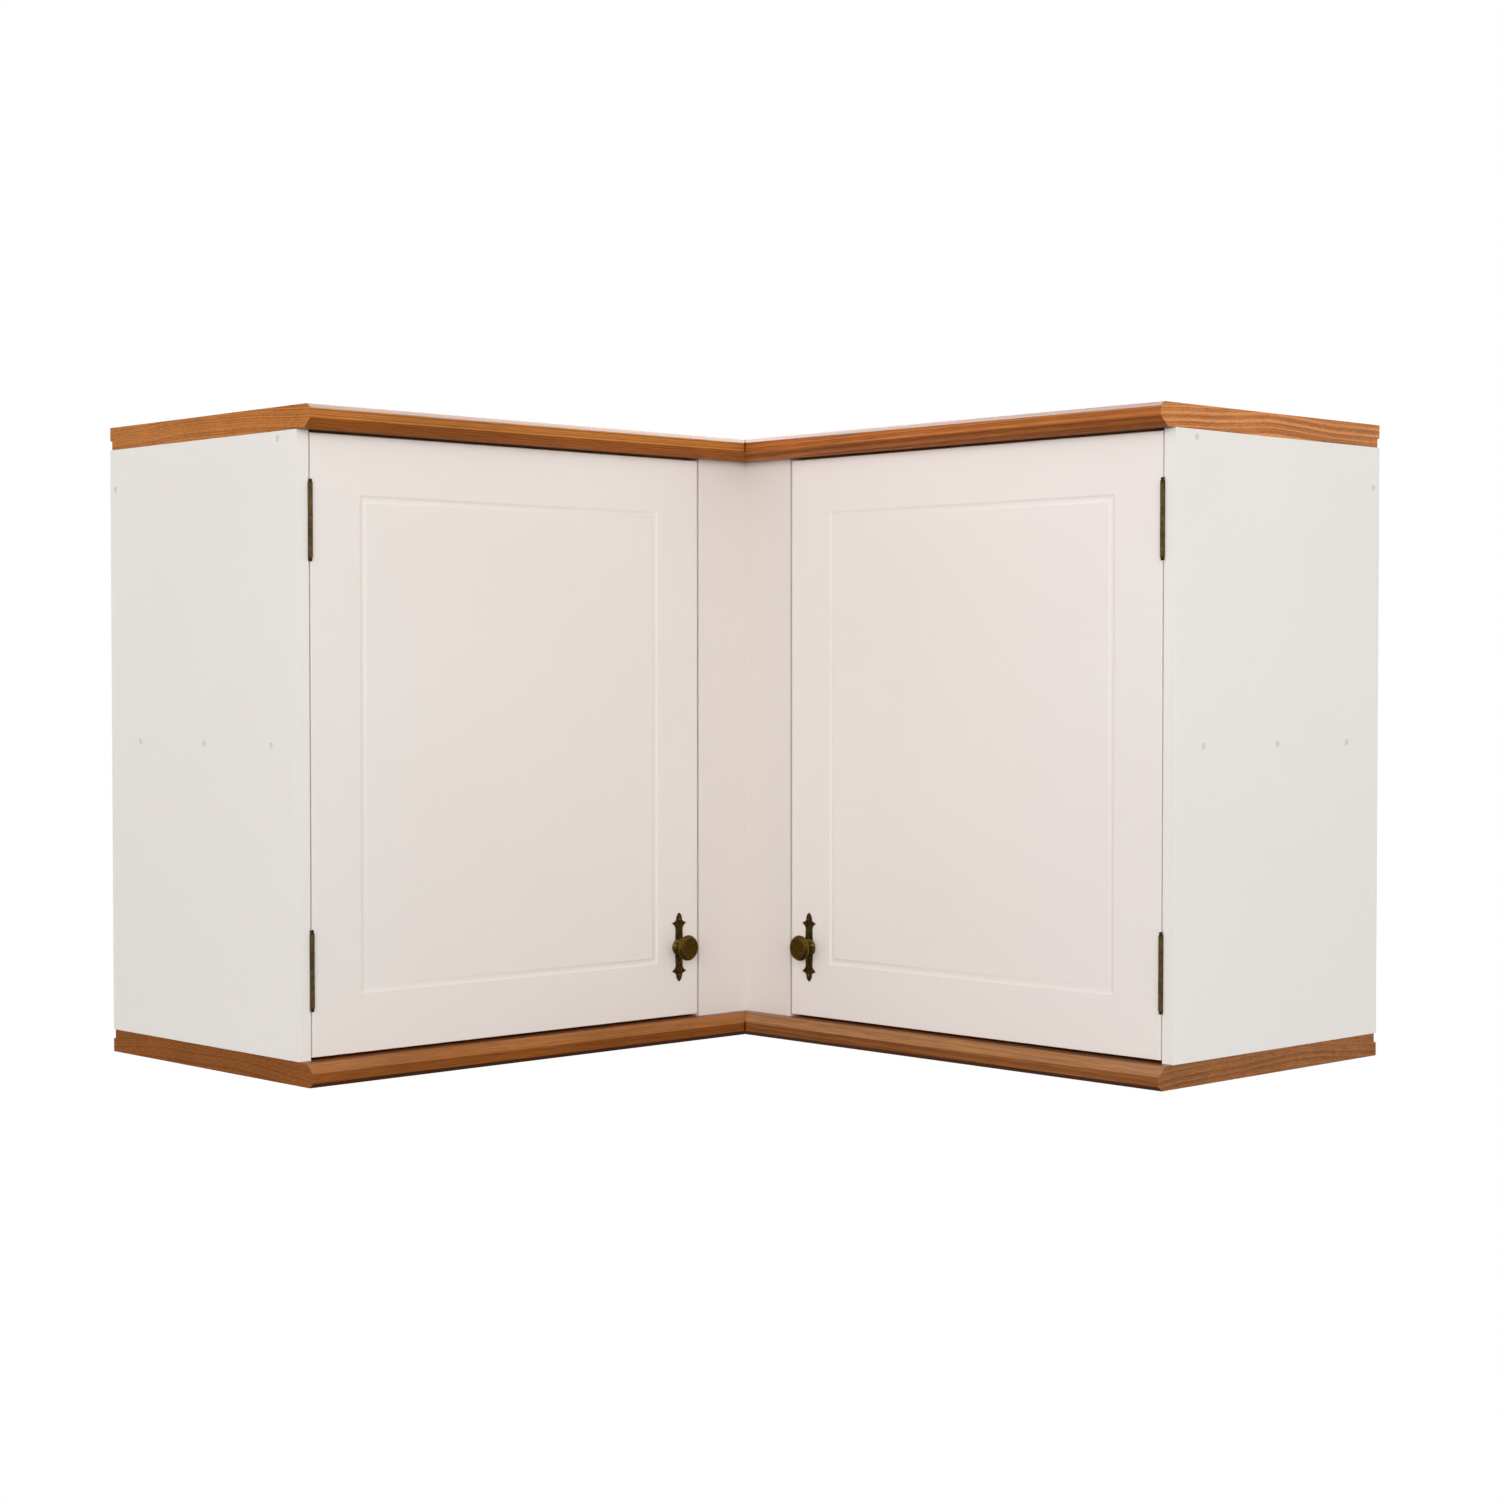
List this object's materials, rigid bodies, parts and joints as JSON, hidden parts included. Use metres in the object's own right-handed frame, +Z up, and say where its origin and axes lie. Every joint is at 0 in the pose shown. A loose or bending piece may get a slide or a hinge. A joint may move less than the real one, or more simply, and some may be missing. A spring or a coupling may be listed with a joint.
{
  "type": "corner wall cabinet",
  "caption": "L-shaped wall cabinet for a room corner: stained boards above and below, painted panels, grooved doors on butt hinges, turned knobs, fixed shelf.",
  "frame": {"origin": "the corner of the room at the level of the cabinet's underside, where the two back faces and the underside meet", "axes": "+X out of the room corner along the wall of the right arm, -Y out of the corner along the wall of the left arm, +Z up"},
  "size_m": [1, 1, 0.7],
  "materials": {
    "stained_pine": "honey-stained pine with visible grain, satin lacquer",
    "painted_panel": "off-white satin paint",
    "painted_door": "off-white satin paint with a faint warm tone",
    "back_board": "thin painted back board, matt",
    "shelf_board": "off-white faced shelf board, satin",
    "bare_pine": "plain planed softwood",
    "beech": "plain turned or pressed beech",
    "screw_filler": "painted-over filler, matt",
    "antique_bronze": "antique bronze, rubbed bright on the raised places",
    "hinge_bronze": "olive-bronze plating, satin",
    "zinc_steel": "bright zinc-plated steel",
    "catch_plastic": "plain white moulded plastic",
    "magnet": "dark sintered magnet"
  },
  "bodies": {
    "root": {"back_panel_left": "back_board", "back_panel_pins": "zinc_steel", "back_panel_right": "back_board", "bottom_board_left": "stained_pine", "bottom_board_right": "stained_pine", "carcass_dowels": "beech", "catch_housing_left": "catch_plastic", "catch_housing_right": "catch_plastic", "catch_magnet_left": "magnet", "catch_magnet_right": "magnet", "catch_screws": "zinc_steel", "corner_post": "bare_pine", "filler_left": "painted_panel", "filler_right": "painted_panel", "front_rail_left": "bare_pine", "front_rail_right": "bare_pine", "hanging_rail_left": "bare_pine", "hanging_rail_right": "bare_pine", "hinge_frame_leaf_left_lower": "hinge_bronze", "hinge_frame_leaf_left_upper": "hinge_bronze", "hinge_frame_leaf_right_lower": "hinge_bronze", "hinge_frame_leaf_right_upper": "hinge_bronze", "hinge_frame_screws": "hinge_bronze", "hinge_pin_left_lower": "hinge_bronze", "hinge_pin_left_upper": "hinge_bronze", "hinge_pin_right_lower": "hinge_bronze", "hinge_pin_right_upper": "hinge_bronze", "mitre_biscuits": "beech", "post_screws": "zinc_steel", "screw_plugs": "screw_filler", "shelf_left": "shelf_board", "shelf_right": "shelf_board", "side_panel_left": "painted_panel", "side_panel_right": "painted_panel", "side_screws": "zinc_steel", "top_board_left": "stained_pine", "top_board_right": "stained_pine"},
    "door_left": {"door_left": "painted_door", "hinge_door_leaf_left_lower": "hinge_bronze", "hinge_door_leaf_left_upper": "hinge_bronze", "hinge_door_screws_left": "hinge_bronze", "backplate_left": "antique_bronze", "knob_left": "antique_bronze", "knob_screw_left": "zinc_steel", "backplate_nails_left": "antique_bronze", "strike_plate_left": "zinc_steel", "strike_screws_left": "zinc_steel"},
    "door_right": {"door_right": "painted_door", "hinge_door_leaf_right_lower": "hinge_bronze", "hinge_door_leaf_right_upper": "hinge_bronze", "hinge_door_screws_right": "hinge_bronze", "backplate_right": "antique_bronze", "knob_right": "antique_bronze", "knob_screw_right": "zinc_steel", "backplate_nails_right": "antique_bronze", "strike_plate_right": "zinc_steel", "strike_screws_right": "zinc_steel"}
  },
  "joints": [
    {"name": "left_door_hinge", "type": "hinge", "parent": "root", "child": "door_left", "pos_m": [0.3675, -0.984, 0], "axis": [0, 0, -1], "range_deg": [0, 170]},
    {"name": "right_door_hinge", "type": "hinge", "parent": "root", "child": "door_right", "pos_m": [0.984, -0.3675, 0], "axis": [0, 0, 1], "range_deg": [0, 170]}
  ]
}
